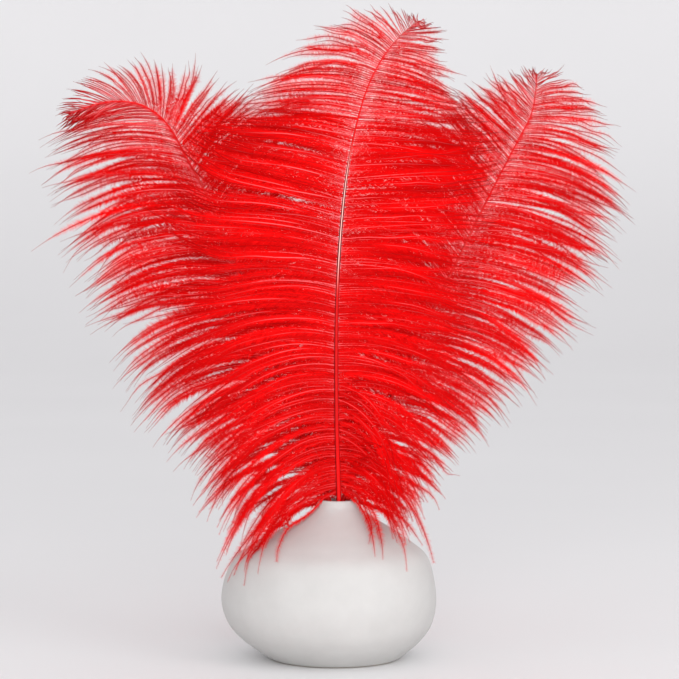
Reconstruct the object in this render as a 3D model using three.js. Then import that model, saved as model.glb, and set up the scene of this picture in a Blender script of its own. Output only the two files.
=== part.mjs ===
import * as THREE from 'three';

// Three dyed ostrich feathers standing in a small white stoneware vase. Millimetres, +Z up. The origin is
// the middle of the vase's flat foot, +X is the viewer's right and +Y points away from the viewer.

// Vase: outline of the outside from the foot to the mouth, as [radius, height]
const BELLY_RADIUS = 75.4;
const BELLY_HEIGHT = 46;
const VASE_OUTLINE = [
  [45, 0], [62.5, 13.5], [72.5, 27], [BELLY_RADIUS, BELLY_HEIGHT], [68.5, 70], [52.5, 83],
  [27.5, 97.5], [17, 105.5], [14.2, 110.4],
];
const WALL = 3.2;
const FLOOR = 4;
const BELLY_LEAN = -4.5;
const BELLY_TOP = 90;
const MOUTH_LEAN = 2;
const NECK_FOOT = 75;
const NECK_TOP = 100;
const VASE_SIDES = 46;
const OUTSIDE_STEPS = 15;
const INSIDE_STEPS = 10;
const LIP_STEPS = 4;

// Feathers: every shaft tapers from the quill's end to the plume's tip, bare where it stands in the vase
const QUILL_RADIUS = 2.6;
const TIP_RADIUS = 0.35;
const BARE_QUILL = 118;
const SHAFT_SIDES = 8;
const SHAFT_STEPS = 40;
const VANE_THICKNESS = 1.6;
const VANE_GAP = 1;
const VANE_ROWS = 28;
const VANE_COLUMNS = 6;
const BARB_STEPS = 24;
const BEND_POWER = 1.3;
const SHAFT_REACH = 0.005;
const BARB_REACH = 0.08;
const VASE_CLEARANCE = 3.5;
const TOWARDS_VIEWER = new THREE.Vector3(0, -1, 0);

// Each vane is ruled by stations [share of the vane from its foot to the feather's tip, value]:
// the barbs' length, the angle at which they leave the shaft, how far they bend down on the way to
// their tips, in degrees, and how far the tips come forward out of the feather's plane
const FEATHERS = {
  middle: {
    shaft: [
      [2, -12, 6.6], [2.5, -9.5, 60], [2.5, -7.5, 111], [1, -15, 172], [1, -23, 242], [4, -28, 302],
      [10, -30, 352], [20, -30, 393], [31, -29, 417], [44, -28, 434], [57, -28, 445],
    ],
    left: {
      length: [[0, 92], [0.15, 112], [0.35, 110], [0.6, 88], [0.8, 54], [0.94, 20], [1, 5]],
      launch: [[0, 84], [0.2, 94], [0.5, 88], [0.75, 64], [0.92, 54], [1, 24]],
      bend: [[0, 84], [0.15, 66], [0.35, 30], [0.6, 14], [1, 0]],
      forward: [[0, 30], [0.25, 12], [1, 3]],
    },
    right: {
      length: [[0, 74], [0.15, 92], [0.4, 98], [0.7, 80], [0.9, 42], [1, 6]],
      launch: [[0, 52], [0.2, 76], [0.5, 84], [0.75, 70], [0.9, 56], [1, 24]],
      bend: [[0, 132], [0.15, 88], [0.35, 45], [0.6, 26], [1, 0]],
      forward: [[0, 26], [0.25, 12], [1, 3]],
    },
  },
  left: {
    shaft: [
      [36, 5, 7.2], [16.5, 3.5, 58], [-4.5, 2.5, 111], [-46, 10, 216], [-86, 18, 315], [-104, 21, 350],
      [-119, 21, 376], [-135, 19, 388], [-151, 16, 391], [-167, 12, 389], [-186, 6, 382],
    ],
    left: {
      length: [[0, 84], [0.1, 104], [0.3, 114], [0.55, 118], [0.7, 110], [0.8, 84], [0.9, 48], [1, 8]],
      launch: [[0, 66], [0.3, 68], [0.71, 60], [1, 16]],
      bend: [[0, 76], [0.3, 52], [0.6, 44], [0.8, 32], [1, 16]],
      forward: [[0, 4], [0.3, -14], [1, -4]],
    },
    right: {
      length: [[0, 50], [0.3, 84], [0.55, 84], [0.7, 60], [0.85, 34], [0.95, 18], [1, 6]],
      launch: [[0, 50], [0.4, 60], [0.8, 60], [0.92, 48], [1, 16]],
      bend: [[0, 80], [0.4, 50], [0.6, 22], [0.8, -10], [1, 0]],
      forward: [[0, 0], [1, 0]],
    },
  },
  right: {
    shaft: [
      [-42, 20, 9.5], [-18, 13.5, 58], [5.5, 7.5, 111], [56, 26, 216], [105, 42, 315], [121, 46, 346],
      [132, 47, 367], [140, 47, 383], [143, 46, 401], [143.5, 45, 411],
    ],
    left: {
      length: [[0, 50], [0.3, 76], [0.6, 78], [0.75, 64], [0.9, 30], [1, 6]],
      launch: [[0, 60], [0.4, 66], [0.8, 56], [0.92, 46], [1, 18]],
      bend: [[0, 50], [0.4, 30], [0.8, 8], [1, 0]],
      forward: [[0, -6], [1, 0]],
    },
    right: {
      length: [[0, 52], [0.15, 70], [0.3, 90], [0.5, 104], [0.75, 98], [0.88, 72], [0.96, 28], [1, 5]],
      launch: [[0, 60], [0.3, 66], [0.6, 66], [0.8, 62], [0.92, 56], [1, 20]],
      bend: [[0, 84], [0.3, 60], [0.6, 42], [0.85, 32], [1, 0]],
      forward: [[0, 0], [0.3, -16], [1, -4]],
    },
  },
};

const STONEWARE = new THREE.MeshStandardMaterial({ color: 0xe4e2df, roughness: 0.75, metalness: 0 });
const DYED_QUILL = new THREE.MeshStandardMaterial({ color: 0x9c0a0c, roughness: 0.4, metalness: 0 });
const DYED_BARBS = new THREE.MeshStandardMaterial({ color: 0xe0161a, roughness: 0.9, metalness: 0 });

// Straight-line value between stations [place, value], held at both ends
function between(stations, place) {
  const next = stations.findIndex(([station]) => station >= place);
  if (next === 0) return stations[0][1];
  if (next < 0) return stations[stations.length - 1][1];
  const [before, low] = stations[next - 1];
  const [after, high] = stations[next];
  return THREE.MathUtils.mapLinear(place, before, after, low, high);
}

const outlinePoints = VASE_OUTLINE.map(([radius, height]) => new THREE.Vector2(radius, height));
const outside = new THREE.SplineCurve(outlinePoints);

// The hand-shaped belly bulges to the left of the foot, and the neck stands a little to the right of it
function vaseLean(height) {
  const belly = Math.sin((Math.PI * Math.min(height, BELLY_TOP)) / BELLY_TOP);
  return BELLY_LEAN * belly + MOUTH_LEAN * THREE.MathUtils.smoothstep(height, NECK_FOOT, NECK_TOP);
}

// The lathe's profile runs up the outside, over the rounded lip and down the inside to the floor
function vaseProfile() {
  const mouth = outside.getPoint(1);
  const lip = new THREE.Vector2(mouth.x - WALL / 2, mouth.y);
  const profile = [new THREE.Vector2(0, 0), ...outside.getSpacedPoints(OUTSIDE_STEPS)];
  for (let step = 1; step < LIP_STEPS; step += 1) {
    const turn = (Math.PI * step) / LIP_STEPS;
    profile.push(new THREE.Vector2(lip.x + (WALL / 2) * Math.cos(turn), lip.y + (WALL / 2) * Math.sin(turn)));
  }
  for (let step = INSIDE_STEPS; step >= 0; step -= 1) {
    const place = outside.getPointAt(step / INSIDE_STEPS);
    const along = outside.getTangentAt(step / INSIDE_STEPS);
    const wall = step === INSIDE_STEPS ? new THREE.Vector2(-WALL, 0) : new THREE.Vector2(-along.y, along.x);
    const inside = place.add(wall.setLength(WALL));
    profile.push(new THREE.Vector2(inside.x, Math.max(inside.y, FLOOR)));
  }
  profile.push(new THREE.Vector2(0, FLOOR));
  return profile;
}

function makeVase() {
  const geometry = new THREE.LatheGeometry(vaseProfile(), VASE_SIDES);
  geometry.rotateX(Math.PI / 2);
  const place = geometry.attributes.position;
  for (let index = 0; index < place.count; index += 1) {
    place.setX(index, place.getX(index) + vaseLean(place.getZ(index)));
  }
  geometry.computeVertexNormals();
  return new THREE.Mesh(geometry, STONEWARE);
}

// Barbs that hang over the vase lie on its shoulder instead of passing through it
const SHOULDER = outside
  .getSpacedPoints(OUTSIDE_STEPS * 4)
  .filter((point) => point.y >= BELLY_HEIGHT)
  .map((point) => [point.x, point.y])
  .reverse();

function settleOnVase(point) {
  const radius = Math.hypot(point.x - vaseLean(point.z), point.y);
  if (radius > BELLY_RADIUS) return;
  point.z = Math.max(point.z, between(SHOULDER, radius) + VASE_CLEARANCE);
}

function shaftRadius(share) {
  return THREE.MathUtils.lerp(QUILL_RADIUS, TIP_RADIUS, share);
}

// Place and directions on a shaft: along its run over a reach to both sides, to its right and out of its face
function shaftFrame(curve, share, reach) {
  const below = curve.getPointAt(Math.max(share - reach, 0));
  const along = curve.getPointAt(Math.min(share + reach, 1)).sub(below).normalize();
  const side = new THREE.Vector3().crossVectors(along, TOWARDS_VIEWER).normalize();
  const face = new THREE.Vector3().crossVectors(side, along);
  return { place: curve.getPointAt(share), along, side, face };
}

function makeShaft(curve) {
  const geometry = new THREE.CylinderGeometry(TIP_RADIUS, QUILL_RADIUS, 1, SHAFT_SIDES, SHAFT_STEPS);
  const vertex = geometry.attributes.position;
  for (let index = 0; index < vertex.count; index += 1) {
    const { place, side, face } = shaftFrame(curve, vertex.getY(index) + 0.5, SHAFT_REACH);
    place.addScaledVector(side, vertex.getX(index)).addScaledVector(face, vertex.getZ(index));
    vertex.setXYZ(index, place.x, place.y, place.z);
  }
  geometry.computeVertexNormals();
  return new THREE.Mesh(geometry, DYED_QUILL);
}

// One barb of a vane, as points from the shaft to its tip, and the direction out of the vane there
function barbLine(curve, vane, hand, share) {
  const bare = BARE_QUILL / curve.getLength();
  const up = THREE.MathUtils.lerp(bare, 1, share);
  const { place, along, side, face } = shaftFrame(curve, up, BARB_REACH);
  const launch = THREE.MathUtils.degToRad(between(vane.launch, share));
  const bend = THREE.MathUtils.degToRad(between(vane.bend, share));
  const step = between(vane.length, share) / BARB_STEPS;
  const forward = between(vane.forward, share);
  const point = place.addScaledVector(side, hand * (shaftRadius(up) + VANE_GAP));
  const line = [point.clone()];
  for (let index = 0; index < BARB_STEPS; index += 1) {
    const angle = launch + bend * ((index + 0.5) / BARB_STEPS) ** BEND_POWER;
    point.addScaledVector(along, Math.cos(angle) * step).addScaledVector(side, hand * Math.sin(angle) * step);
    line.push(point.clone().addScaledVector(face, forward * ((index + 1) / BARB_STEPS) ** 2));
  }
  return { line, face };
}

// A vane is a thin closed sheet through its barbs: rows along the shaft, columns from the shaft to the tips
function makeVane(curve, vane, hand) {
  const barbs = [];
  for (let row = 0; row <= VANE_ROWS; row += 1) barbs.push(barbLine(curve, vane, hand, row / VANE_ROWS));
  const geometry = new THREE.BoxGeometry(1, 1, 1, VANE_ROWS, VANE_COLUMNS, 1);
  const vertex = geometry.attributes.position;
  for (let index = 0; index < vertex.count; index += 1) {
    const row = Math.round((vertex.getX(index) + 0.5) * VANE_ROWS);
    const column = Math.round((vertex.getY(index) + 0.5) * VANE_COLUMNS);
    const { line, face } = barbs[row];
    const point = line[(column * BARB_STEPS) / VANE_COLUMNS].clone();
    point.addScaledVector(face, -hand * vertex.getZ(index) * VANE_THICKNESS);
    settleOnVase(point);
    vertex.setXYZ(index, point.x, point.y, point.z);
  }
  geometry.computeVertexNormals();
  return new THREE.Mesh(geometry, DYED_BARBS);
}

function makeFeather(name, feather) {
  const points = feather.shaft.map(([x, y, z]) => new THREE.Vector3(x, y, z));
  const curve = new THREE.CatmullRomCurve3(points, false, 'catmullrom', 0.5);
  const pieces = {
    shaft: makeShaft(curve),
    left_vane: makeVane(curve, feather.left, -1),
    right_vane: makeVane(curve, feather.right, 1),
  };
  const group = new THREE.Group();
  for (const [piece, mesh] of Object.entries(pieces)) {
    mesh.name = `${name}_feather_${piece}`;
    group.add(mesh);
  }
  return group;
}

const vase = makeVase();
vase.name = 'vase';
const model = new THREE.Group();
model.add(vase);
for (const [name, feather] of Object.entries(FEATHERS)) model.add(makeFeather(name, feather));

export default model;
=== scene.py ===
import math

import bpy
import numpy as np
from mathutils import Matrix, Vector


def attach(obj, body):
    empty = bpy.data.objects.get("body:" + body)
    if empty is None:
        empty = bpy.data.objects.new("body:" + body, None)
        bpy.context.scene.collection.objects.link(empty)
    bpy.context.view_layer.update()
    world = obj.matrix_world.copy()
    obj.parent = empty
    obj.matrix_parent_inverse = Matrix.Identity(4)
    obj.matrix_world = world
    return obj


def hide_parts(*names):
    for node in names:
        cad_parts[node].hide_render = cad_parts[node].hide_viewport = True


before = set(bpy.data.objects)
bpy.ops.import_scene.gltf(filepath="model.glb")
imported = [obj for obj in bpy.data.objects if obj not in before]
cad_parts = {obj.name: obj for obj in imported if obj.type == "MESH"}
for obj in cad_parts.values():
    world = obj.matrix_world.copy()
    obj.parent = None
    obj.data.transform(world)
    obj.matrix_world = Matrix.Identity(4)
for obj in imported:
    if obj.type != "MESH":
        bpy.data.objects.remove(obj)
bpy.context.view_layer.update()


# Vase: one hollow piece of white stoneware, thrown on a wheel, with a belly that sags a little to the left. A
# thin matte glaze covers it inside and out, and the flat foot that it stood on in the kiln is bare clay.
MM = 0.001
FOOT_RADIUS = 45
BELLY_RADIUS = 75.4
BELLY_HEIGHT = 46
VASE_OUTLINE = [
    (FOOT_RADIUS, 0), (62.5, 13.5), (72.5, 27), (BELLY_RADIUS, BELLY_HEIGHT), (68.5, 70), (52.5, 83),
    (27.5, 97.5), (17, 105.5), (14.2, 110.4),
]
VASE_WALL = 3.2
VASE_FLOOR = 4
BELLY_LEAN = -4.5
LEANING_HEIGHT = 90
NECK_LEAN = 2
NECK_HEIGHTS = (75, 100)
FOOT_ROUNDING = 3
FOOT_ROUNDING_HEIGHT = 2
VASE_SIDES = 144
VASE_ROWS = 90
FOOT_EDGE_ROWS = 6
LIP_ROWS = 9
GLAZE = [(0.3, (0.54, 0.533, 0.52)), (0.7, (0.58, 0.573, 0.56))]
BARE_CLAY = (0.52, 0.45, 0.37, 1)
BARE_HEIGHTS = (0.0002, 0.0012)


def smooth_run(points, count, steps=40):
    """Points spaced evenly on a smooth line through the given ones."""
    points = np.array(points, float)
    padded = np.vstack([2 * points[0] - points[1], points, 2 * points[-1] - points[-2]])
    step = np.linspace(0, 1, steps, endpoint=False)[:, None]
    ease = 3 * step**2 - 2 * step**3
    run = []
    for before, start, end, after in zip(padded, padded[1:], padded[2:], padded[3:]):
        leave = (end - before) / 2 * (step - 2 * step**2 + step**3)
        arrive = (after - start) / 2 * (step**3 - step**2)
        run.append(start + (end - start) * ease + leave + arrive)
    run = np.vstack([*run, points[-1:]])
    gone = np.concatenate([[0], np.cumsum(np.linalg.norm(np.diff(run, axis=0), axis=1))])
    even = np.linspace(0, gone[-1], count)
    return np.column_stack([np.interp(even, gone, axis) for axis in run.T])


def ease_in(value, low, high):
    """0 below low and 1 above high, with a soft rise between them."""
    share = np.clip((value - low) / (high - low), 0, 1)
    return share * share * (3 - 2 * share)


def vase_lean(height):
    """How far the vase's middle stands to the right of the foot's at a height, both in mm."""
    belly = np.sin(np.pi * np.minimum(height, LEANING_HEIGHT) / LEANING_HEIGHT)
    return BELLY_LEAN * belly + NECK_LEAN * ease_in(height, *NECK_HEIGHTS)


def add_node(tree, kind, values=None, **settings):
    """A new node with its settings, and with its inputs set to values or joined to other nodes' outputs."""
    node = tree.nodes.new(kind)
    for name, setting in settings.items():
        setattr(node, name, setting)
    for name, value in (values or {}).items():
        if isinstance(value, bpy.types.NodeSocket):
            tree.links.new(value, node.inputs[name])
        else:
            node.inputs[name].default_value = value
    return node


def colour_ramp(tree, value, stops):
    """The colour that a value from 0 to 1 picks from colours at given places, blended between them."""
    node = add_node(tree, "ShaderNodeValToRGB", {"Fac": value})
    elements = node.color_ramp.elements
    for element, (place, colour) in zip(elements, (stops[0], stops[-1])):
        element.position = place
        element.color = (*colour, 1)
    for place, colour in stops[1:-1]:
        elements.new(place).color = (*colour, 1)
    return node.outputs["Color"]


def new_material(name):
    """A new material, its tree and the shader that it ends in."""
    material = bpy.data.materials.new(name)
    material.use_nodes = True
    shader = material.node_tree.nodes["Principled BSDF"]
    return material, material.node_tree, shader


def in_place(name, mesh, slot, *nodes):
    """Stands a finished mesh in for its CAD nodes."""
    piece = bpy.data.objects.new(name, mesh)
    bpy.context.scene.collection.objects.link(piece)
    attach(piece, "root")
    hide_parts(*nodes)


outside = smooth_run(VASE_OUTLINE, VASE_ROWS)
kept = outside[outside[:, 1] > FOOT_ROUNDING_HEIGHT]
turn = np.linspace(0, 1, FOOT_EDGE_ROWS + 1)[:-1, None]
foot = np.array([FOOT_RADIUS - FOOT_ROUNDING, 0])
foot_corner = np.array([FOOT_RADIUS, 0])
foot_edge = foot * (1 - turn)**2 + 2 * foot_corner * turn * (1 - turn) + kept[0] * turn**2
wall_run = np.gradient(kept, axis=0)
wall_run /= np.linalg.norm(wall_run, axis=1)[:, None]
inside = kept + VASE_WALL * np.column_stack([-wall_run[:, 1], wall_run[:, 0]])
inside[:, 1] = np.maximum(inside[:, 1], VASE_FLOOR)
inside[-1] = kept[-1] - [VASE_WALL, 0]
over_lip = np.linspace(0, np.pi, LIP_ROWS + 2)[1:-1]
lip = kept[-1] - [VASE_WALL / 2, 0] + VASE_WALL / 2 * np.column_stack([np.cos(over_lip), np.sin(over_lip)])
profile = np.vstack([foot_edge, kept, lip, inside[::-1]])

around = np.arange(VASE_SIDES) * 2 * np.pi / VASE_SIDES
ring_x = profile[:, :1] * np.cos(around) + vase_lean(profile[:, 1:])
ring_y = profile[:, :1] * np.sin(around)
ring_z = np.repeat(profile[:, 1:], VASE_SIDES, axis=1)
vase_points = np.stack([ring_x, ring_y, ring_z], axis=-1).reshape(-1, 3)
foot_middle = len(vase_points)
vase_points = np.vstack([vase_points, [0, 0, 0], [vase_lean(VASE_FLOOR), 0, VASE_FLOOR]])
corner = np.arange(len(profile) * VASE_SIDES).reshape(len(profile), VASE_SIDES)
beside = np.roll(corner, -1, axis=1)
vase_faces = np.stack([corner[:-1], beside[:-1], beside[1:], corner[1:]], axis=-1).reshape(-1, 4).tolist()
vase_faces += [[foot_middle, b, a] for a, b in zip(corner[0], beside[0])]
vase_faces += [[foot_middle + 1, a, b] for a, b in zip(corner[-1], beside[-1])]
vase_mesh = bpy.data.meshes.new("vase")
vase_mesh.from_pydata((vase_points * MM).tolist(), [], vase_faces)
vase_mesh.shade_smooth()

stoneware, tree, shader = new_material("matte stoneware")
place = add_node(tree, "ShaderNodeTexCoord").outputs["Object"]
mottle = add_node(tree, "ShaderNodeTexNoise", {
    "Vector": place, "Scale": 38.0, "Detail": 4.0, "Roughness": 0.6})
grain = add_node(tree, "ShaderNodeTexNoise", {
    "Vector": place, "Scale": 900.0, "Detail": 3.0, "Roughness": 0.6})
height = add_node(tree, "ShaderNodeSeparateXYZ", {"Vector": place}).outputs["Z"]
bare = add_node(tree, "ShaderNodeMapRange", {
    "Value": height, "From Min": BARE_HEIGHTS[0], "From Max": BARE_HEIGHTS[1], "To Min": 1.0, "To Max": 0.0})
colour = add_node(tree, "ShaderNodeMix", {
    "Factor": bare.outputs["Result"], "A": colour_ramp(tree, mottle.outputs["Fac"], GLAZE), "B": BARE_CLAY,
}, data_type="RGBA")
rough = add_node(tree, "ShaderNodeMapRange", {"Value": grain.outputs["Fac"], "To Min": 0.55, "To Max": 0.75})
bump = add_node(tree, "ShaderNodeBump", {
    "Height": grain.outputs["Fac"], "Strength": 0.12, "Distance": 0.0004})
tree.links.new(colour.outputs["Result"], shader.inputs["Base Color"])
tree.links.new(rough.outputs["Result"], shader.inputs["Roughness"])
tree.links.new(bump.outputs["Normal"], shader.inputs["Normal"])
shader.inputs["Specular IOR Level"].default_value = 0.3
vase_mesh.materials.append(stoneware)
in_place("vase", vase_mesh, "stoneware", "vase")


# Shafts: the feathers' quills, horn, dyed through and tapering from a stout hollow end in the vase to a
# hair at the tip. They lean out of the mouth on three sides, and each tip nods over. Along its upper half
# and near its tip the middle one carries a painted highlight, a narrow pale line between painted dark
# flanks, and every shaft has painted shade down its flanks, darkest on the left and strongest low on the
# middle one.
SHAFT_ROUTES = {
    "middle": [
        (2, -12, 6.6), (2.5, -9.5, 60), (2.5, -7.5, 111), (1, -15, 172), (1, -23, 242), (4, -28, 302),
        (10, -30, 352), (20, -30, 393), (31, -29, 417), (44, -28, 434), (57, -28, 445),
    ],
    "left": [
        (36, 5, 7.2), (16.5, 3.5, 58), (-4.5, 2.5, 111), (-46, 10, 216), (-86, 18, 315), (-104, 21, 350),
        (-119, 21, 376), (-135, 19, 388), (-151, 16, 391), (-167, 12, 389), (-186, 6, 382),
    ],
    "right": [
        (-42, 20, 9.5), (-18, 13.5, 58), (5.5, 7.5, 111), (56, 26, 216), (105, 42, 315), (121, 46, 346),
        (132, 47, 367), (140, 47, 383), (143, 46, 401), (143.5, 45, 411),
    ],
}
QUILL_RADIUS = 2.6
TIP_RADIUS = 0.35
SHAFT_TAPER = 1.2
SHAFT_FLATNESS = (1.0, 0.85, 1.0)
SHAFT_SIDES = 12
SHAFT_POINTS = 400
SHAFT_RINGS = 90
SHAFT_REACH = 0.01
TOWARDS_VIEWER = np.array([0, -1, 0])
# Painted light on the shafts, by feather: how strong the painted highlight and the painted flank shade are.
# Then where along the shaft the painted highlight lies, and how much of it the tip carries.
SHAFT_PAINTED_LIGHT = {"middle": 0.9, "left": 0.1, "right": 0.1}
SHAFT_HIGHLIGHT_FROM = (0.55, 0.62)
SHAFT_HIGHLIGHT_TO = (0.73, 0.79)
SHAFT_TIP_HIGHLIGHT = (0.94, 0.97)
TIP_HIGHLIGHT_STRENGTH = 0.6
# Painted shade on the shaft's flanks: its least strength, and how it fades up the shaft.
LEAST_FLANK_SHADE = 0.15
FLANK_SHADE_LOSS = 0.8
FLANK_SHADE_FADE = (0.78, 0.86)
HORN_DYE = [
    (0, (0.85, 0.003, 0.004)), (0.28, (0.8, 0.003, 0.004)), (0.36, (0.62, 0.003, 0.004)),
    (0.5, (0.6, 0.003, 0.004)), (0.8, (0.8, 0.003, 0.004)), (1, (0.85, 0.004, 0.006)),
]
# The painted highlight's colour, and how wide its pale line is across the shaft.
HORN_HIGHLIGHT = (1.0, 0.6, 0.54, 1)
HIGHLIGHT_WIDTH = (0.2, 0.45)
# Painted shade beside the highlight's line, then painted shade across the shaft from left flank to right
# flank.
BESIDE_HIGHLIGHT_SHADE = 0.9
FLANK_SHADE_RAMP = [(0, (0.08,) * 3), (0.28, (1,) * 3), (0.8, (1,) * 3), (1, (0.45,) * 3)]


def unit(vectors):
    return vectors / np.linalg.norm(vectors, axis=-1, keepdims=True)


def on_shaft(run, share):
    """Places at shares of a shaft's length from the quill's end to the tip."""
    ends = np.linspace(0, 1, len(run))
    return np.stack([np.interp(share, ends, axis) for axis in run.T], axis=-1)


def shaft_frame(run, share, reach):
    """Places on a shaft, and the directions there: along it, to its right and out of its face."""
    along = unit(on_shaft(run, np.minimum(share + reach, 1)) - on_shaft(run, np.maximum(share - reach, 0)))
    side = unit(np.cross(along, TOWARDS_VIEWER))
    return on_shaft(run, share), along, side, np.cross(side, along)


def shaft_radius(share):
    return QUILL_RADIUS + (TIP_RADIUS - QUILL_RADIUS) * share**SHAFT_TAPER


def line_mesh(name, lines, attributes):
    """A mesh of open lines, all with the same count of points, that carries values on its points."""
    count, points = lines.shape[:2]
    index = np.arange(count * points).reshape(count, points)
    edges = np.stack([index[:, :-1], index[:, 1:]], axis=-1).reshape(-1, 2)
    mesh = bpy.data.meshes.new(name)
    mesh.from_pydata((lines.reshape(-1, 3) * MM).tolist(), edges.tolist(), [])
    for key, values in attributes.items():
        kind, field = ("FLOAT_VECTOR", "vector") if values.ndim == 3 else ("FLOAT", "value")
        layer = mesh.attributes.new(key, kind, "POINT")
        layer.data.foreach_set(field, values.astype(np.float32).ravel())
    return mesh


def grown(name, mesh, tree, inputs):
    """The plain mesh that a node tree grows from a mesh of lines."""
    grower = bpy.data.objects.new(name, mesh)
    bpy.context.scene.collection.objects.link(grower)
    modifier = grower.modifiers.new("grow", "NODES")
    modifier.node_group = tree
    for item in tree.interface.items_tree:
        if item.in_out == "INPUT" and item.name in inputs:
            modifier[item.identifier] = inputs[item.name]
    ready = grower.evaluated_get(bpy.context.evaluated_depsgraph_get())
    result = bpy.data.meshes.new_from_object(ready)
    bpy.data.objects.remove(grower)
    bpy.data.meshes.remove(mesh)
    result.name = name
    return result


def node_sockets(tree, inputs, outputs):
    """Names a node tree's inputs and outputs, and gives their sockets inside the tree."""
    for way, sockets in (("INPUT", inputs), ("OUTPUT", outputs)):
        for name, kind in sockets.items():
            tree.interface.new_socket(name, in_out=way, socket_type=f"NodeSocket{kind}")
    return tree.nodes.new("NodeGroupInput").outputs, tree.nodes.new("NodeGroupOutput").inputs


def carried(tree, name, kind="FLOAT"):
    """A value that the lines carry on their points."""
    node = add_node(tree, "GeometryNodeInputNamedAttribute", {"Name": name}, data_type=kind)
    return node.outputs["Attribute"]


sweep = bpy.data.node_groups.new("shaft sweep", "GeometryNodeTree")
given, result = node_sockets(sweep, {
    "Lines": "Geometry", "Sides": "Int", "Flatness": "Vector", "Horn": "Material"}, {"Geometry": "Geometry"})
curve = add_node(sweep, "GeometryNodeMeshToCurve", {"Mesh": given["Lines"]}).outputs["Curve"]
curve = add_node(sweep, "GeometryNodeSetCurveNormal", {
    "Curve": curve, "Normal": carried(sweep, "face", "FLOAT_VECTOR")}, mode="FREE").outputs["Curve"]
curve = add_node(sweep, "GeometryNodeSetCurveRadius", {
    "Curve": curve, "Radius": carried(sweep, "radius")}).outputs["Curve"]
ring = add_node(sweep, "GeometryNodeCurvePrimitiveCircle", {"Resolution": given["Sides"], "Radius": 1.0})
on_ring = add_node(sweep, "GeometryNodeInputPosition").outputs["Position"]
on_ring = add_node(sweep, "ShaderNodeSeparateXYZ", {"Vector": on_ring})
marked = add_node(sweep, "GeometryNodeStoreNamedAttribute", {
    "Geometry": ring.outputs["Curve"], "Name": "edge", "Value": on_ring.outputs["Y"]}, domain="POINT")
oval = add_node(sweep, "GeometryNodeTransform", {
    "Geometry": marked.outputs["Geometry"], "Scale": given["Flatness"]}).outputs["Geometry"]
swept = add_node(sweep, "GeometryNodeCurveToMesh", {
    "Curve": curve, "Profile Curve": oval, "Scale": carried(sweep, "radius"), "Fill Caps": True,
}).outputs["Mesh"]
swept = add_node(sweep, "GeometryNodeRealizeInstances", {"Geometry": swept}).outputs["Geometry"]
swept = add_node(sweep, "GeometryNodeSetMaterial", {"Geometry": swept, "Material": given["Horn"]})
sweep.links.new(swept.outputs["Geometry"], result["Geometry"])

streaky = bpy.data.node_groups.new("uneven dye", "ShaderNodeTree")
given, result = node_sockets(streaky, {
    "Place": "Vector", "Fineness": "Vector", "Detail": "Float", "Dark At": "Float", "Bright At": "Float",
    "Darkest": "Float", "Brightest": "Float"}, {"Streak": "Float", "Shade": "Float"})
drawn = add_node(streaky, "ShaderNodeMapping", {"Vector": given["Place"], "Scale": given["Fineness"]})
streak = add_node(streaky, "ShaderNodeTexNoise", {
    "Vector": drawn.outputs["Vector"], "Scale": 1.0, "Detail": given["Detail"]}).outputs["Fac"]
shade = add_node(streaky, "ShaderNodeMapRange", {
    "Value": streak, "From Min": given["Dark At"], "From Max": given["Bright At"],
    "To Min": given["Darkest"], "To Max": given["Brightest"]}).outputs["Result"]
streaky.links.new(streak, result["Streak"])
streaky.links.new(shade, result["Shade"])

horn, tree, shader = new_material("dyed horn")
up = add_node(tree, "ShaderNodeAttribute", attribute_name="up").outputs["Fac"]
flank = add_node(tree, "ShaderNodeAttribute", attribute_name="edge").outputs["Fac"]
pale = add_node(tree, "ShaderNodeAttribute", attribute_name="pale").outputs["Fac"]
groove = add_node(tree, "ShaderNodeAttribute", attribute_name="groove").outputs["Fac"]
place = add_node(tree, "ShaderNodeTexCoord").outputs["Object"]
streaks = add_node(tree, "ShaderNodeGroup", {
    "Place": place, "Fineness": (900.0, 900.0, 40.0), "Detail": 2.0, "Dark At": 0.0, "Bright At": 1.0,
    "Darkest": 0.85, "Brightest": 1.12}, node_tree=streaky)
# Painted light on the horn: the dye with a painted highlight mixed in along a pale line down the shaft's
# middle, darkened by painted shade beside that line and on the flanks.
off_middle = add_node(tree, "ShaderNodeMath", {0: flank}, operation="ABSOLUTE").outputs[0]
highlight_band = add_node(tree, "ShaderNodeMapRange", {
    "Value": off_middle, "From Min": HIGHLIGHT_WIDTH[0], "From Max": HIGHLIGHT_WIDTH[1], "To Min": 1.0, "To Max": 0.0})
highlight_line = add_node(tree, "ShaderNodeMath", {
    0: pale, 1: highlight_band.outputs["Result"]}, operation="MULTIPLY").outputs[0]
dye = add_node(tree, "ShaderNodeMix", {
    "Factor": highlight_line, "A": colour_ramp(tree, up, HORN_DYE), "B": HORN_HIGHLIGHT}, data_type="RGBA")
over = add_node(tree, "ShaderNodeMapRange", {"Value": flank, "From Min": -1.0, "From Max": 1.0})
shade = add_node(tree, "ShaderNodeMix", {
    "Factor": groove, "A": 1.0, "B": colour_ramp(tree, over.outputs["Result"], FLANK_SHADE_RAMP),
}, data_type="FLOAT").outputs["Result"]
beside_highlight = add_node(tree, "ShaderNodeMath", {0: pale, 1: highlight_line}, operation="SUBTRACT").outputs[0]
dim = add_node(tree, "ShaderNodeMath", {
    0: beside_highlight, 1: -BESIDE_HIGHLIGHT_SHADE, 2: 1.0}, operation="MULTIPLY_ADD").outputs[0]
shade = add_node(tree, "ShaderNodeMath", {0: dim, 1: shade}, operation="MULTIPLY").outputs[0]
shade = add_node(tree, "ShaderNodeMath", {
    0: streaks.outputs["Shade"], 1: shade}, operation="MULTIPLY").outputs[0]
colour = add_node(tree, "ShaderNodeVectorMath", {
    0: dye.outputs["Result"], "Scale": shade}, operation="SCALE")
tree.links.new(colour.outputs["Vector"], shader.inputs["Base Color"])
shader.inputs["Roughness"].default_value = 0.38
shader.inputs["Specular IOR Level"].default_value = 0.15

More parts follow.
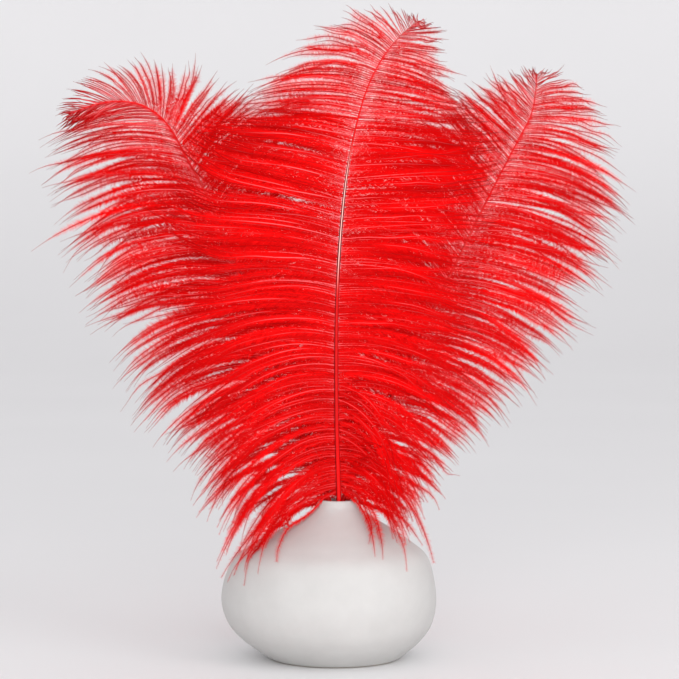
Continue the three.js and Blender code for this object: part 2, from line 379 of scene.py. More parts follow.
shaft_runs = {}
for feather, route in SHAFT_ROUTES.items():
    shaft_runs[feather] = smooth_run(route, SHAFT_POINTS)
    share = np.linspace(0, 1, SHAFT_RINGS)
    line, along, side, face = shaft_frame(shaft_runs[feather], share, SHAFT_REACH)
    # Where along this shaft the painted highlight and the painted flank shade lie.
    pale = ease_in(share, *SHAFT_HIGHLIGHT_FROM) * (1 - ease_in(share, *SHAFT_HIGHLIGHT_TO))
    pale = SHAFT_PAINTED_LIGHT[feather] * (pale + TIP_HIGHLIGHT_STRENGTH * ease_in(share, *SHAFT_TIP_HIGHLIGHT))
    groove = LEAST_FLANK_SHADE + SHAFT_PAINTED_LIGHT[feather] * (1 - FLANK_SHADE_LOSS * ease_in(share, *FLANK_SHADE_FADE))
    lines = line_mesh(f"{feather}_feather_shaft", line[None], {
        "radius": shaft_radius(share)[None] * MM, "face": face[None], "up": share[None], "pale": pale[None],
        "groove": np.minimum(groove, 1)[None]})
    shaft_mesh = grown(f"{feather}_feather_shaft", lines, sweep, {
        "Sides": SHAFT_SIDES, "Flatness": SHAFT_FLATNESS, "Horn": horn})
    shaft_mesh.shade_smooth()
    in_place(f"{feather}_feather_shaft", shaft_mesh, "dyed_quill", f"{feather}_feather_shaft")


# Barbs: the soft plumage, some two hundred barbs down each side of a shaft, dyed scarlet. Every barb is a
# thin stem that grows out of the shaft, fringed on both sides with loose barbules that don't hook together.
FIRST_BARB = {"middle": 110, "left": 108, "right": 110}
BARBS_PER_VANE = 222
BARB_POINTS = 18
BARB_REACH = 0.08
ROOT_DEPTH = 0.65
ROOT_JITTER = 0.15
CROWDING = 1.15
FIRST_SEED = 530

# Each vane from its lowest barb, at 0, to the shaft's tip, at 1: the barbs' length in mm, the degrees
# between shaft and barb at the root, how many degrees the barb has bent down at its tip, whether it bends
# early (a low power) or late, how many degrees its outer half curls, and how many mm the tip stands out.
VANES = {
    ("middle", "left"): {
        "length": [
            (0, 81), (0.04, 86), (0.12, 102), (0.35, 124), (0.5, 128), (0.65, 116), (0.72, 98), (0.78, 84),
            (0.82, 79), (0.875, 71), (0.905, 55), (0.935, 35), (0.96, 20), (0.985, 9), (1, 4)],
        "launch": [
            (0, 92), (0.06, 83), (0.2, 80), (0.36, 74), (0.5, 74), (0.6, 77), (0.7, 80), (0.77, 91),
            (0.83, 94), (0.88, 92), (0.91, 85), (0.94, 80), (0.965, 68), (1, 58)],
        "bend": [
            (0, 56), (0.08, 76), (0.15, 74), (0.2, 66), (0.35, 60), (0.5, 30), (0.6, 14), (0.7, 26),
            (0.8, 32), (0.87, 60), (0.91, 40), (0.96, 16), (1, 5)],
        "power": [
            (0, 0.5), (0.05, 0.6), (0.12, 0.65), (0.2, 0.75), (0.35, 0.9), (0.5, 0.75), (0.7, 0.75),
            (0.85, 1.1), (1, 1.1)],
        "curl": [(0, 0), (0.36, 0), (0.46, -58), (0.62, -50), (0.7, -18), (0.76, 0), (1, 0)],
        "forward": [(0, 46), (0.1, 28), (0.25, 12), (1, 3)],
    },
    ("middle", "right"): {
        "length": [
            (0, 48), (0.05, 58), (0.12, 86), (0.4, 100), (0.6, 104), (0.7, 102), (0.8, 86), (0.865, 68),
            (0.89, 57), (0.92, 41), (0.955, 27), (0.98, 14), (1, 5)],
        "launch": [
            (0, 84), (0.06, 82), (0.2, 86), (0.3, 84), (0.5, 82), (0.6, 78), (0.8, 76), (0.89, 68),
            (0.92, 57), (0.955, 51), (1, 40)],
        "bend": [
            (0, 82), (0.1, 78), (0.2, 62), (0.3, 44), (0.4, 28), (0.5, 13), (0.6, 2), (0.665, 7), (0.72, 13),
            (0.8, 10), (0.865, 20), (0.89, 16), (0.92, 10), (1, 4)],
        "power": [(0, 0.6), (0.1, 0.75), (0.3, 1.0), (0.5, 0.75), (0.7, 0.75), (0.85, 1.1), (1, 1.1)],
        "curl": [(0, 0), (0.52, 0), (0.62, -18), (0.78, -27), (0.84, -5), (1, 0)],
        "forward": [(0, 54), (0.06, 40), (0.12, 26), (0.25, 12), (1, 3)],
    },
    ("left", "left"): {
        "length": [
            (0, 50), (0.1, 81), (0.2, 97), (0.3, 107), (0.55, 113), (0.7, 104), (0.755, 91), (0.81, 76),
            (0.84, 62), (0.88, 48), (0.925, 34), (1, 9)],
        "launch": [
            (0, 71), (0.3, 60), (0.55, 46), (0.7, 42), (0.755, 34), (0.81, 26), (0.84, 25),
            (0.88, 26), (1, 22)],
        "bend": [
            (0, 66), (0.3, 59), (0.55, 62), (0.7, 53), (0.755, 50), (0.81, 42), (0.84, 30),
            (0.88, 20), (1, 6)],
        "power": [(0, 1.3), (0.2, 1.15), (0.5, 0.75), (0.8, 0.8), (1, 1)],
        "curl": [(0, 0), (1, 0)],
        "forward": [(0, 4), (0.3, -14), (1, -4)],
    },
    ("left", "right"): {
        "length": [
            (0, 50), (0.3, 84), (0.55, 92), (0.65, 80), (0.74, 64), (0.78, 54), (0.81, 41), (0.84, 38),
            (0.88, 35), (0.925, 27), (0.97, 16), (1, 8)],
        "launch": [
            (0, 50), (0.4, 50), (0.6, 54), (0.7, 64), (0.76, 75), (0.79, 68), (0.82, 54), (0.85, 45),
            (0.88, 34), (0.93, 22), (1, 10)],
        "bend": [
            (0, 80), (0.4, 55), (0.6, 42), (0.7, 20), (0.76, 6), (0.79, -10), (0.82, -22), (0.85, -32),
            (0.93, -26), (1, -12)],
        "power": [(0, 1.3), (0.2, 1.15), (0.5, 0.75), (0.7, 1), (0.8, 1.5), (1, 1.2)],
        "curl": [(0, 0), (1, 0)],
        "forward": [(0, 0), (1, 0)],
    },
    ("right", "left"): {
        "length": [
            (0, 50), (0.3, 80), (0.6, 90), (0.75, 72), (0.845, 53), (0.89, 44), (0.93, 31),
            (0.975, 15), (1, 5)],
        "launch": [(0, 56), (0.4, 52), (0.6, 58), (0.8, 68), (0.89, 68), (0.93, 60), (0.975, 53), (1, 35)],
        "bend": [(0, 54), (0.4, 48), (0.6, 34), (0.7, 18), (0.8, 8), (1, 2)],
        "power": [(0, 1.3), (0.2, 1.15), (0.5, 0.75), (1, 0.8)],
        "curl": [(0, 0), (1, 0)],
        "forward": [(0, -6), (1, 0)],
    },
    ("right", "right"): {
        "length": [
            (0, 50), (0.15, 63), (0.3, 83), (0.5, 101), (0.75, 97), (0.805, 88), (0.86, 78), (0.895, 68),
            (0.92, 53), (0.95, 40), (0.975, 24), (0.99, 11), (1, 4)],
        "launch": [
            (0, 68), (0.3, 68), (0.6, 64), (0.75, 64), (0.86, 69), (0.895, 69), (0.92, 65), (0.95, 54),
            (0.975, 45), (1, 38)],
        "bend": [
            (0, 62), (0.3, 44), (0.6, 32), (0.75, 36), (0.86, 37), (0.895, 26), (0.92, 18), (0.95, 28),
            (0.975, 15), (1, 4)],
        "power": [(0, 1.3), (0.2, 1.15), (0.5, 0.9), (0.8, 1.1), (1, 1.1)],
        "curl": [(0, 0), (1, 0)],
        "forward": [(0, 0), (0.3, -16), (1, -4)],
    },
}

# Barbs that fall on their own, by their number in the vane: length, launch, bend and forward. The hanging
# ones drop in front of the lower barbs, close to the shaft.
HANGING_BARBS = {
    row: (88 - 0.6 * row, 98 + 3 * (row % 4), 72, 32 + 3 * (row % 5)) for row in range(17, 47, 3)
}
LONE_BARBS = {
    ("middle", "left"): {1: (102, 106, 72, 56)},
    ("middle", "right"): {9: (96, 78, 92, 30), **HANGING_BARBS},
}

# How far barbs stray from the vane's rule: each on its own, then with its neighbours, and in how many swells
# along the vane. The lowest barbs and the strays are looser than the rest.
LENGTH_SCATTER = (0.08, 0.04, 24)
LAUNCH_SCATTER = (1.0, 0.6, 16)
BEND_SCATTER = (4.5, 2.2, 14)
FORWARD_SCATTER = (14, 3, 14)
CURL_SCATTER = (0.6, 1.3)
LOOSEST = 36
HALF_DEPTH = 70
LOW_PART = 0.25
LOW_LOOSENESS = 0.8
LOW_LENGTH_SCATTER = 0.05
STRAYS = 0.3
STRAY_LOOSENESS = 1.2
CURL_PART = (0.5, 1.1)
RULED_BOW = 2
LOOSE_BOW = 1.5

# Locks: a few neighbouring barbs that cling together towards their tips, more loosely near the feather's tip.
LOCK_BARBS = (2, 6)
LOCK_PULL = (0.15, 0.75)
LOCK_PART = (0.4, 1.1)
TOP_LOOSENESS = 0.4
TOP_LOCKS = (0.7, 0.85)
LOCK_DEPTH = 11
DEEPEST_LOCK = 16
LOCK_RISE = 1.1
LOCK_RIPPLES = (0.8, 2.2)
RIPPLE_HEIGHT = 0.9

# Sway: the slight waves of every single barb, and how far it lies above the vase's shoulder.
SWAY = 0.5
LOW_SWAY = 0.4
STRAY_SWAY = 0.4
SWAY_WAVES = (1.5, 3.5)
BARB_LIFT = (0.8, 3.5)
LEAST_RESTING_HEIGHT = 20


def drift(chance, share, swells):
    """A slow random sway along a vane, about 1 high."""
    knots = chance.normal(0, 1, swells + 2)
    place = share * swells
    start = np.clip(place.astype(int), 0, swells)
    ease = ease_in(place - start, 0, 1)
    return knots[start] * (1 - ease) + knots[start + 1] * ease


def scatter(chance, share, own, shared, swells):
    """How far barbs stray by chance, each on its own and with its neighbours."""
    return own * chance.normal(0, 1, len(share)) + shared * drift(chance, share, swells)


def gather_locks(lines, share, along, face, stray, chance):
    """Draws neighbouring barbs together towards their tips, and sets each lock apart from the next."""
    t = np.linspace(0, 1, BARB_POINTS)
    count = len(lines)
    lock_of = np.searchsorted(np.cumsum(chance.integers(*LOCK_BARBS, count)), np.arange(count), side="right")
    for number in range(lock_of[-1] + 1):
        held = np.flatnonzero((lock_of == number) & ~stray)
        if len(held) == 0:
            continue
        lock = lines[held]
        hold = 1 - TOP_LOOSENESS * ease_in(share[held[0]], *TOP_LOCKS)
        pull = chance.uniform(*LOCK_PULL) * ease_in(t, *LOCK_PART) * hold
        lock += (lock.mean(axis=0) - lock) * pull[None, :, None]
        depth = np.clip(chance.normal(0, LOCK_DEPTH), -DEEPEST_LOCK, DEEPEST_LOCK)
        lock += face[held].mean(axis=0) * (depth * t**LOOSE_BOW)[:, None]
        ripple = np.sin(2 * np.pi * (chance.uniform(*LOCK_RIPPLES) * t + chance.uniform(0, 1)))
        rise = chance.normal(0, LOCK_RISE) * t**LOOSE_BOW + chance.normal(0, RIPPLE_HEIGHT) * ripple * t
        lock += along[held].mean(axis=0) * rise[:, None]
        lines[held] = lock


def settle_on_vase(lines, lift):
    """Barbs that hang over the vase lie on its shoulder instead of passing through it."""
    shoulder = outside[outside[:, 1] >= BELLY_HEIGHT][::-1]
    radius = np.hypot(lines[..., 0] - vase_lean(lines[..., 2]), lines[..., 1])
    rest = np.interp(radius, shoulder[:, 0], shoulder[:, 1]) + lift
    over = (radius < BELLY_RADIUS) & (lines[..., 2] > LEAST_RESTING_HEIGHT)
    lines[..., 2] = np.where(over, np.maximum(lines[..., 2], rest), lines[..., 2])


# Dress: the barbules along a barb, in mm. They are shorter at the root and the tip of a barb, on short barbs,
# near the feather's tip and on barbs that lie close to the shaft. Stems are stout at the root.
BARBULE_LENGTH = 3.3
BARBULE_SCATTER = (0.8, 1.2)
ROOT_BALDNESS = (0.1, 0.2)
BALD_ROOT = (0.01, 0.14)
BALD_SHARES = (0.5, 0.8)
OUTER_FLUFF = 0.4
OUTER_PART = (0.3, 0.7)
EXTRA_FLUFF = {"middle": 0.3, "left": 0.24, "right": 0.08}
EXTRA_FROM = (0.1, 0.3)
EXTRA_TO = (0.68, 0.9)
EXTRA_PART = (0.35, 0.75)
TIP_THINNING = 0.9
THIN_TIP = (0.72, 0.98)
LOW_THINNING = 0.3
LONE_THINNING = 0.4
FULL_BARB = 42
LEAST_FLUFF = 0.4
UPPER_SHARES = (0.65, 0.9)
UPPER_THINNING = 0.12
OPEN_LAUNCH = math.radians(45)
CLOSE_FLUFF = 0.5
BARBULE_SLANT_LOSS = 0.64
SLANT_PART = (0.3, 0.75)
UPPER_SLANT_LOSS = 0.25
STEM_RADIUS = 0.32
STEM_TAPER = 0.15
STEM_TIP_TAPER = 0.6
STEM_TIP = (0.75, 1)
STOUTNESS = 1.3
STOUT_BARB = 50
LEAN_BARB = 0.3
STOUT_ROOT = 4


def dress(share, length, launch, low, lone, extra, chance):
    """The barbules' length, their slant along the barb and the stem's radius, at every point of the barbs."""
    t = np.linspace(0, 1, BARB_POINTS)
    upper = ease_in(share, *UPPER_SHARES)
    thinning = 1 - LOW_THINNING * low
    thinning[list(lone)] = LONE_THINNING
    bald = ROOT_BALDNESS[0] + ROOT_BALDNESS[1] * ease_in(share, *BALD_SHARES)[:, None]
    thick = (ease_in(share, *EXTRA_FROM) * (1 - ease_in(share, *EXTRA_TO)))[:, None]
    full = (1 - bald * (1 - ease_in(t, *BALD_ROOT))) * (1 + OUTER_FLUFF * ease_in(t, *OUTER_PART))
    full = full * (1 + extra * thick * (1 - ease_in(t, *EXTRA_PART)))
    full = full * (1 - TIP_THINNING * thinning[:, None] * ease_in(t, *THIN_TIP))
    fluff = BARBULE_LENGTH * full * chance.uniform(*BARBULE_SCATTER, len(share))[:, None]
    fluff *= (np.clip(length / FULL_BARB, LEAST_FLUFF, 1) * (1 - UPPER_THINNING * upper))[:, None]
    fluff *= np.clip(launch / OPEN_LAUNCH, CLOSE_FLUFF, 1)[:, None]
    slant = (1 - BARBULE_SLANT_LOSS * ease_in(t, *SLANT_PART)) * (1 - UPPER_SLANT_LOSS * upper)[:, None]
    stout = STOUTNESS * np.clip(length / STOUT_BARB - LEAN_BARB, 0, 1)[:, None]
    stout = stout * (1 - ease_in(t * length[:, None], 0, STOUT_ROOT))
    stem = STEM_RADIUS * (1 - STEM_TAPER * t - STEM_TIP_TAPER * ease_in(t, *STEM_TIP) + stout)
    return fluff, slant, stem


def vane_lines(run, first, vane, lone, extra, hand, chance):
    """Every barb of a vane as points from the shaft to its tip, and what the points carry."""
    count = BARBS_PER_VANE
    t = np.linspace(0, 1, BARB_POINTS)
    bare = first / np.linalg.norm(np.diff(run, axis=0), axis=1).sum()
    row = np.arange(count) + 0.5
    even = np.clip((row + chance.uniform(-ROOT_JITTER, ROOT_JITTER, count)) / count, 0, 1)
    share = 1 - (1 - even) ** CROWDING
    up = bare + (1 - bare) * share
    place, along, side, face = shaft_frame(run, up, BARB_REACH)
    ruled = {key: np.interp(share, *zip(*stations)) for key, stations in vane.items()}

    low = 1 - ease_in(share, 0, LOW_PART)
    stray = chance.uniform(0, 1, count) < STRAYS
    loose = 1 + LOW_LOOSENESS * low + STRAY_LOOSENESS * stray
    own, shared, swells = LENGTH_SCATTER
    length = ruled["length"] * (1 + scatter(chance, share, own + LOW_LENGTH_SCATTER * low, shared, swells))
    launch = np.radians(ruled["launch"] + loose * scatter(chance, share, *LAUNCH_SCATTER))
    bend = np.radians(ruled["bend"] + loose * scatter(chance, share, *BEND_SCATTER))
    curl = np.radians(ruled["curl"] * chance.uniform(*CURL_SCATTER, count))
    spread = loose * scatter(chance, share, *FORWARD_SCATTER)
    forward = ruled["forward"] + np.clip(spread, -LOOSEST, LOOSEST)
    forward = np.clip(forward, place[:, 1] - HALF_DEPTH, place[:, 1] + HALF_DEPTH)
    for number, (lone_length, lone_launch, lone_bend, lone_forward) in lone.items():
        length[number] = lone_length
        launch[number] = np.radians(lone_launch)
        bend[number] = np.radians(lone_bend)
        curl[number] = 0
        forward[number] = lone_forward
        stray[number] = True

    step = (np.arange(BARB_POINTS - 1) + 0.5) / (BARB_POINTS - 1)
    angle = launch[:, None] + bend[:, None] * step ** ruled["power"][:, None]
    angle += curl[:, None] * ease_in(step, *CURL_PART)
    stride = np.cos(angle)[..., None] * along[:, None] + hand * np.sin(angle)[..., None] * side[:, None]
    stride *= (length / (BARB_POINTS - 1))[:, None, None]
    root = place + hand * side * (shaft_radius(up) * (1 - ROOT_DEPTH))[:, None]
    lines = root[:, None] + np.concatenate([np.zeros((count, 1, 3)), np.cumsum(stride, axis=1)], axis=1)
    bow = ruled["forward"][:, None] * t**RULED_BOW + (forward - ruled["forward"])[:, None] * t**LOOSE_BOW
    lines += face[:, None] * bow[..., None]

    gather_locks(lines, share, along, face, stray, chance)
    sway = SWAY + LOW_SWAY * low + STRAY_SWAY * stray
    for direction in (along, face):
        waves = chance.uniform(*SWAY_WAVES, count)[:, None] * t + chance.uniform(0, 1, count)[:, None]
        swing = (sway * chance.normal(0, 1, count))[:, None] * np.sin(2 * np.pi * waves) * t
        lines += direction[:, None] * swing[..., None]
    settle_on_vase(lines, chance.uniform(*BARB_LIFT, count)[:, None])

    fluff, slant, stem = dress(share, length, launch, low, lone, extra, chance)
    return lines, {
        "along": np.repeat(t[None], count, axis=0),
        "row": np.repeat((row / count)[:, None], BARB_POINTS, axis=1),
        "face": np.repeat(face[:, None], BARB_POINTS, axis=1),
        "fluff": fluff * MM, "slant": slant, "stem": stem * MM}


# On the barbs' own map a stem runs along the left half and its barbules along the right half, each barb in a
# row of its own, so that the dye can follow the barb outwards.
MAP_LENGTH = 0.46
MAP_HALF = 0.5
FRINGE_FROM = 0.51
FRINGE_TO = 0.53
ROW_FILL = 0.4
BARBULE_SPACING = 0.28
BARBULE_ROLL = math.radians(45)
BARBULE_SIZES = (0.6, 1.35)
SIZE_SEED = 77
BARBULE_BASE = 0.14
BARBULE_TIP = (0.8, 0.62, -0.2)
BARBULE_STAGGER = 0.06

barbs = bpy.data.node_groups.new("barbs with barbules", "GeometryNodeTree")
given, result = node_sockets(barbs, {
    "Lines": "Geometry", "Spacing": "Float", "Roll": "Float", "Barbules": "Object", "Band": "Float",
    "Seed": "Int", "Dye": "Material"}, {"Geometry": "Geometry"})
curve = add_node(barbs, "GeometryNodeMeshToCurve", {"Mesh": given["Lines"]}).outputs["Curve"]
ring = add_node(barbs, "GeometryNodeCurvePrimitiveCircle", {"Resolution": 3, "Radius": 1.0}).outputs["Curve"]
number = add_node(barbs, "GeometryNodeInputIndex").outputs["Index"]
third = add_node(barbs, "ShaderNodeMath", {0: number, 1: 0.5, 2: -0.5}, operation="MULTIPLY_ADD").outputs[0]
across = add_node(barbs, "ShaderNodeCombineXYZ", {"X": 0.0, "Y": third, "Z": 0.0}).outputs["Vector"]
ring = add_node(barbs, "GeometryNodeStoreNamedAttribute", {
    "Geometry": ring, "Name": "across", "Value": across}, data_type="FLOAT_VECTOR", domain="POINT")
stems = add_node(barbs, "GeometryNodeCurveToMesh", {
    "Curve": curve, "Profile Curve": ring.outputs["Geometry"], "Scale": carried(barbs, "stem"),
}).outputs["Mesh"]
dots = add_node(barbs, "GeometryNodeResampleCurve", {
    "Curve": curve, "Length": given["Spacing"]}, mode="LENGTH").outputs["Curve"]
outwards = add_node(barbs, "GeometryNodeInputTangent").outputs["Tangent"]
turned = add_node(barbs, "FunctionNodeAxesToRotation", {
    "Primary Axis": outwards, "Secondary Axis": carried(barbs, "face", "FLOAT_VECTOR")},
    primary_axis="X", secondary_axis="Z").outputs["Rotation"]
back = add_node(barbs, "ShaderNodeMath", {0: given["Roll"], 1: -1.0}, operation="MULTIPLY").outputs[0]
roll = add_node(barbs, "FunctionNodeRandomValue", {
    2: back, 3: given["Roll"], "ID": number, "Seed": given["Seed"]}, data_type="FLOAT").outputs[1]
rolled = add_node(barbs, "FunctionNodeAxisAngleToRotation", {"Axis": (1.0, 0.0, 0.0), "Angle": roll})
turned = add_node(barbs, "FunctionNodeRotateRotation", {
    "Rotation": turned, "Rotate By": rolled.outputs["Rotation"]}, rotation_space="LOCAL").outputs["Rotation"]
size = add_node(barbs, "FunctionNodeRandomValue", {
    2: BARBULE_SIZES[0], 3: BARBULE_SIZES[1], "ID": number, "Seed": SIZE_SEED}, data_type="FLOAT").outputs[1]
size = add_node(barbs, "ShaderNodeMath", {
    0: size, 1: carried(barbs, "fluff")}, operation="MULTIPLY").outputs[0]
stretch = add_node(barbs, "ShaderNodeCombineXYZ", {"X": carried(barbs, "slant"), "Y": 1.0, "Z": 1.0})
stretch = add_node(barbs, "ShaderNodeVectorMath", {
    0: stretch.outputs["Vector"], "Scale": size}, operation="SCALE").outputs["Vector"]
pair = add_node(barbs, "GeometryNodeObjectInfo", {"Object": given["Barbules"]}).outputs["Geometry"]
tufts = add_node(barbs, "GeometryNodeInstanceOnPoints", {
    "Points": dots, "Rotation": turned, "Scale": stretch, "Instance": pair}).outputs["Instances"]
tufts = add_node(barbs, "GeometryNodeRealizeInstances", {"Geometry": tufts}).outputs["Geometry"]
both = add_node(barbs, "GeometryNodeJoinGeometry")
barbs.links.new(tufts, both.inputs["Geometry"])
barbs.links.new(stems, both.inputs["Geometry"])
apart = add_node(barbs, "ShaderNodeSeparateXYZ", {"Vector": carried(barbs, "across", "FLOAT_VECTOR")})
map_u = add_node(barbs, "ShaderNodeMath", {
    0: carried(barbs, "along"), 1: MAP_LENGTH, 2: apart.outputs["X"]}, operation="MULTIPLY_ADD").outputs[0]
map_v = add_node(barbs, "ShaderNodeMath", {
    0: apart.outputs["Y"], 1: given["Band"], 2: carried(barbs, "row")}, operation="MULTIPLY_ADD").outputs[0]
mapped = add_node(barbs, "ShaderNodeCombineXYZ", {"X": map_u, "Y": map_v}).outputs["Vector"]
both = add_node(barbs, "GeometryNodeStoreNamedAttribute", {
    "Geometry": both.outputs["Geometry"], "Name": "OFBake", "Value": mapped,
}, data_type="FLOAT2", domain="CORNER")
dyed = add_node(barbs, "GeometryNodeSetMaterial", {
    "Geometry": both.outputs["Geometry"], "Material": given["Dye"]})
barbs.links.new(dyed.outputs["Geometry"], result["Geometry"])

tip_out, tip_aside, tip_back = BARBULE_TIP
barbule_mesh = bpy.data.meshes.new("pair of barbules")
barbule_mesh.from_pydata([
    (0, 0, 0), (BARBULE_BASE, 0, 0), (tip_out, tip_aside, tip_back),
    (BARBULE_STAGGER, 0, 0), (BARBULE_STAGGER + BARBULE_BASE, 0, 0),
    (BARBULE_STAGGER + tip_out, -tip_aside, tip_back),
], [], [(0, 1, 2), (3, 5, 4)])
fringe_middle = (FRINGE_FROM + FRINGE_TO) / 2
across = barbule_mesh.attributes.new("across", "FLOAT_VECTOR", "POINT")
across.data.foreach_set("vector", np.array([
    (FRINGE_FROM, 0, 0), (FRINGE_TO, 0, 0), (fringe_middle, 1, 0),
    (FRINGE_FROM, 0, 0), (FRINGE_TO, 0, 0), (fringe_middle, -1, 0)], np.float32).ravel())
barbule_pair = bpy.data.objects.new("pair of barbules", barbule_mesh)

# Dye along a barb, from root to tip: the low stems, the high stems and the barbules. Over some stems lies
# a painted pinkish highlight, in streaks.
LOW_DYE = [
    (0, (0.84, 0.004, 0.005)), (0.45, (0.84, 0.004, 0.0048)), (0.7, (0.66, 0.002, 0.0024)),
    (0.86, (0.46, 0.0015, 0.0018)), (1, (0.3, 0.001, 0.0015)),
]
HIGH_DYE = [
    (0, (0.95, 0.01, 0.012)), (0.08, (0.64, 0.004, 0.0048)), (0.45, (0.64, 0.004, 0.0048)),
    (0.7, (0.54, 0.002, 0.0024)), (0.86, (0.4, 0.0015, 0.0018)), (1, (0.24, 0.001, 0.0015)),
]
FRINGE_DYE = [(0, (0.86, 0.001, 0.0015)), (0.4, (0.98, 0.001, 0.0015)), (1, (0.9, 0.001, 0.0015))]
HIGH_ROWS = (0.4, 0.7)
# Painted highlight: a pinkish colour laid over the inner part of some stems in random streaks, weaker on the
# lowest rows.
STEM_HIGHLIGHT = (1.0, 0.2, 0.22, 1)
HIGHLIGHT_STREAKS = (0.45, 0.58)
HIGHLIGHT_STRENGTH = 0.8
HIGHLIGHT_PART = (0.35, 0.75)
LOW_ROW_HIGHLIGHT = 0.3
HIGHLIGHT_ROWS = (0.1, 0.4)

scarlet, tree, shader = new_material("scarlet dye")
mapped = add_node(tree, "ShaderNodeUVMap", uv_map="OFBake").outputs["UV"]
apart = add_node(tree, "ShaderNodeSeparateXYZ", {"Vector": mapped})
half = add_node(tree, "ShaderNodeMath", {
    0: apart.outputs["X"], 1: MAP_HALF}, operation="FLOORED_MODULO").outputs[0]
out = add_node(tree, "ShaderNodeMapRange", {
    "Value": half, "From Min": 0.0, "From Max": MAP_LENGTH}).outputs["Result"]
fringe = add_node(tree, "ShaderNodeMath", {
    0: apart.outputs["X"], 1: MAP_HALF}, operation="GREATER_THAN").outputs[0]
high = add_node(tree, "ShaderNodeMapRange", {
    "Value": apart.outputs["Y"], "From Min": HIGH_ROWS[0], "From Max": HIGH_ROWS[1]})
stem_dye = add_node(tree, "ShaderNodeMix", {
    "Factor": high.outputs["Result"],
    "A": colour_ramp(tree, out, LOW_DYE), "B": colour_ramp(tree, out, HIGH_DYE),
}, data_type="RGBA")
strands = add_node(tree, "ShaderNodeGroup", {
    "Place": mapped, "Fineness": (3.0, 90.0, 1.0), "Detail": 3.0, "Dark At": 0.3, "Bright At": 0.7,
    "Darkest": 0.7, "Brightest": 1.07}, node_tree=streaky)
# Painted highlight on the stems, in streaks, fading outwards along the barb and on the lowest rows.
lit = add_node(tree, "ShaderNodeMapRange", {
    "Value": strands.outputs["Streak"], "From Min": HIGHLIGHT_STREAKS[0], "From Max": HIGHLIGHT_STREAKS[1],
}).outputs["Result"]
inner = add_node(tree, "ShaderNodeMapRange", {
    "Value": out, "From Min": HIGHLIGHT_PART[0], "From Max": HIGHLIGHT_PART[1], "To Min": HIGHLIGHT_STRENGTH, "To Max": 0.0,
}).outputs["Result"]
above = add_node(tree, "ShaderNodeMapRange", {
    "Value": apart.outputs["Y"], "From Min": HIGHLIGHT_ROWS[0], "From Max": HIGHLIGHT_ROWS[1],
    "To Min": LOW_ROW_HIGHLIGHT, "To Max": 1.0,
}).outputs["Result"]
for fade in (inner, above):
    lit = add_node(tree, "ShaderNodeMath", {0: lit, 1: fade}, operation="MULTIPLY").outputs[0]
stem_dye = add_node(tree, "ShaderNodeMix", {
    "Factor": lit, "A": stem_dye.outputs["Result"], "B": STEM_HIGHLIGHT}, data_type="RGBA")
colour = add_node(tree, "ShaderNodeMix", {
    "Factor": fringe, "A": stem_dye.outputs["Result"], "B": colour_ramp(tree, out, FRINGE_DYE),
}, data_type="RGBA")
colour = add_node(tree, "ShaderNodeVectorMath", {
    0: colour.outputs["Result"], "Scale": strands.outputs["Shade"]}, operation="SCALE")
tree.links.new(colour.outputs["Vector"], shader.inputs["Base Color"])
shader.inputs["Roughness"].default_value = 0.55
shader.inputs["Specular IOR Level"].default_value = 0.06

for number, ((feather, edge), vane) in enumerate(VANES.items()):
    chance = np.random.default_rng(FIRST_SEED + number)
    hand = -1 if edge == "left" else 1
    lone = LONE_BARBS.get((feather, edge), {})
    lines, traits = vane_lines(
        shaft_runs[feather], FIRST_BARB[feather], vane, lone, EXTRA_FLUFF[feather], hand, chance)
    vane_mesh = grown(f"{feather}_feather_{edge}_barbs", line_mesh("barb lines", lines, traits), barbs, {
        "Spacing": BARBULE_SPACING * MM, "Roll": BARBULE_ROLL, "Barbules": barbule_pair,
        "Band": ROW_FILL / BARBS_PER_VANE, "Seed": number, "Dye": scarlet})
    for spent in (*traits, "across"):
        if spent in vane_mesh.attributes:
            vane_mesh.attributes.remove(vane_mesh.attributes[spent])
    in_place(vane_mesh.name, vane_mesh, "dyed_barbs", f"{feather}_feather_{edge}_vane")


# Table: a pale floor that turns up into a wall all round in one sweep, so that no corner shows behind the
# feathers. The paint is slightly clouded, and the wall glows a little more the higher it rises.
FLOOR_RINGS = [0.5, 1.5]
FLOOR_REACH = 3.0
WALL_CURVE = (2.0, 1.5)
WALL_ROWS = 17
TABLE_SIDES = 96
TABLE_PAINT = [(0, (0.80, 0.795, 0.80)), (1, (0.84, 0.835, 0.84))]
WALL_GLOW = 0.13
GLOW_HEIGHT = 0.7

upward = np.linspace(0, np.pi / 2, WALL_ROWS)
table_reach = np.concatenate([FLOOR_RINGS, FLOOR_REACH + WALL_CURVE[0] * np.sin(upward)])
table_height = np.concatenate([np.zeros(len(FLOOR_RINGS)), WALL_CURVE[1] * (1 - np.cos(upward))])
around = np.arange(TABLE_SIDES) * 2 * np.pi / TABLE_SIDES
table_points = np.stack([
    np.outer(table_reach, np.cos(around)), np.outer(table_reach, np.sin(around)),
    np.repeat(table_height[:, None], TABLE_SIDES, axis=1)], axis=-1).reshape(-1, 3)
corner = np.arange(len(table_points)).reshape(-1, TABLE_SIDES)
beside = np.roll(corner, -1, axis=1)
table_faces = np.stack([corner[:-1], corner[1:], beside[1:], beside[:-1]], axis=-1).reshape(-1, 4).tolist()
table_faces.append(corner[0].tolist())
table_mesh = bpy.data.meshes.new("table")
table_mesh.from_pydata(table_points.tolist(), [], table_faces)
table_mesh.shade_smooth()

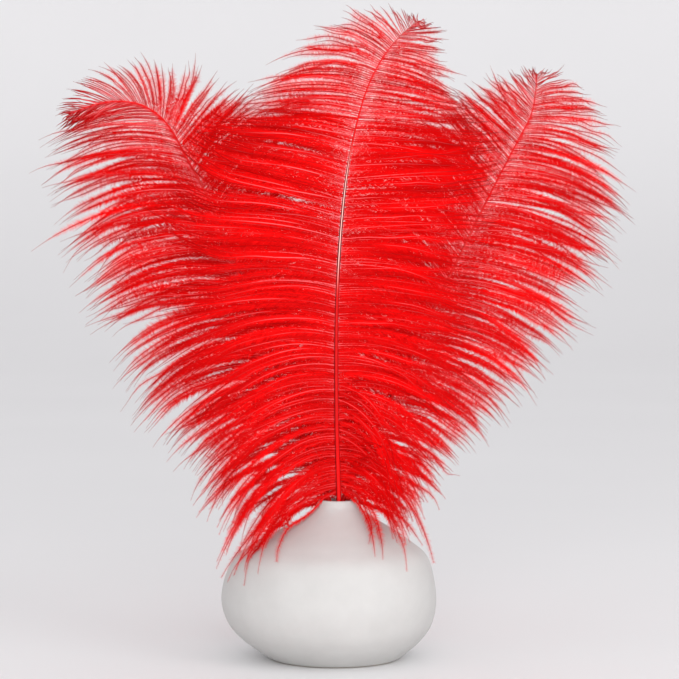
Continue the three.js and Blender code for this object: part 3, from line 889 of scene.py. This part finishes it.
table_paint, tree, shader = new_material("pale table")
place = add_node(tree, "ShaderNodeTexCoord").outputs["Object"]
cloud = add_node(tree, "ShaderNodeTexNoise", {"Vector": place, "Scale": 2.0, "Detail": 2.0})
paint = colour_ramp(tree, cloud.outputs["Fac"], TABLE_PAINT)
height = add_node(tree, "ShaderNodeSeparateXYZ", {"Vector": place}).outputs["Z"]
glow = add_node(tree, "ShaderNodeMapRange", {
    "Value": height, "From Min": 0.0, "From Max": GLOW_HEIGHT, "To Min": 0.0, "To Max": WALL_GLOW,
}, interpolation_type="SMOOTHSTEP")
tree.links.new(paint, shader.inputs["Base Color"])
tree.links.new(paint, shader.inputs["Emission Color"])
tree.links.new(glow.outputs["Result"], shader.inputs["Emission Strength"])
shader.inputs["Roughness"].default_value = 0.6
table_mesh.materials.append(table_paint)
table = bpy.data.objects.new("table", table_mesh)
bpy.context.scene.collection.objects.link(table)


# Light: an even white room, with a large soft window in front of the vase, behind the viewer, and a weaker
# one in front on the right.
ROOM_WHITE = (0.97, 0.96, 0.98, 1)
ROOM_STRENGTH = 0.84
LIT_PLACE = (0, 0, 0.2)


def facing(place, aim):
    """The turn that points a lamp or a camera from its place at its aim."""
    return (Vector(aim) - Vector(place)).to_track_quat("-Z", "Y").to_euler()


def window(name, place, size, power):
    """A soft square light, in metres and watts, that the camera doesn't see."""
    light = bpy.data.lights.new(name, "AREA")
    light.size = size
    light.energy = power
    lamp = bpy.data.objects.new(name, light)
    lamp.location = place
    lamp.rotation_euler = facing(place, LIT_PLACE)
    lamp.visible_camera = False
    bpy.context.scene.collection.objects.link(lamp)


world = bpy.data.worlds.new("room")
world.use_nodes = True
world.node_tree.nodes["Background"].inputs["Color"].default_value = ROOM_WHITE
world.node_tree.nodes["Background"].inputs["Strength"].default_value = ROOM_STRENGTH
bpy.context.scene.world = world
window("side window", place=(1.4, -1.4, 1.0), size=1.2, power=10)
window("front window", place=(0.1, -2.7, 0.8), size=1.5, power=37)


# Camera: two metres in front of the vase and three quarters of the way up the plumes, looking a little down
# through a long lens.
LENS = 151.7
SENSOR_WIDTH = 36
CAMERA_PLACE = (0.003, -2.0, 0.340)
CAMERA_AIM = (0.003, 0, 0.2244)
lens = bpy.data.cameras.new("camera")
lens.lens = LENS
lens.sensor_width = SENSOR_WIDTH
camera = bpy.data.objects.new("camera", lens)
camera.location = CAMERA_PLACE
camera.rotation_euler = facing(CAMERA_PLACE, CAMERA_AIM)
bpy.context.scene.collection.objects.link(camera)
bpy.context.scene.camera = camera
bpy.context.scene.view_settings.view_transform = "Standard"


bpy.context.view_layer.update()
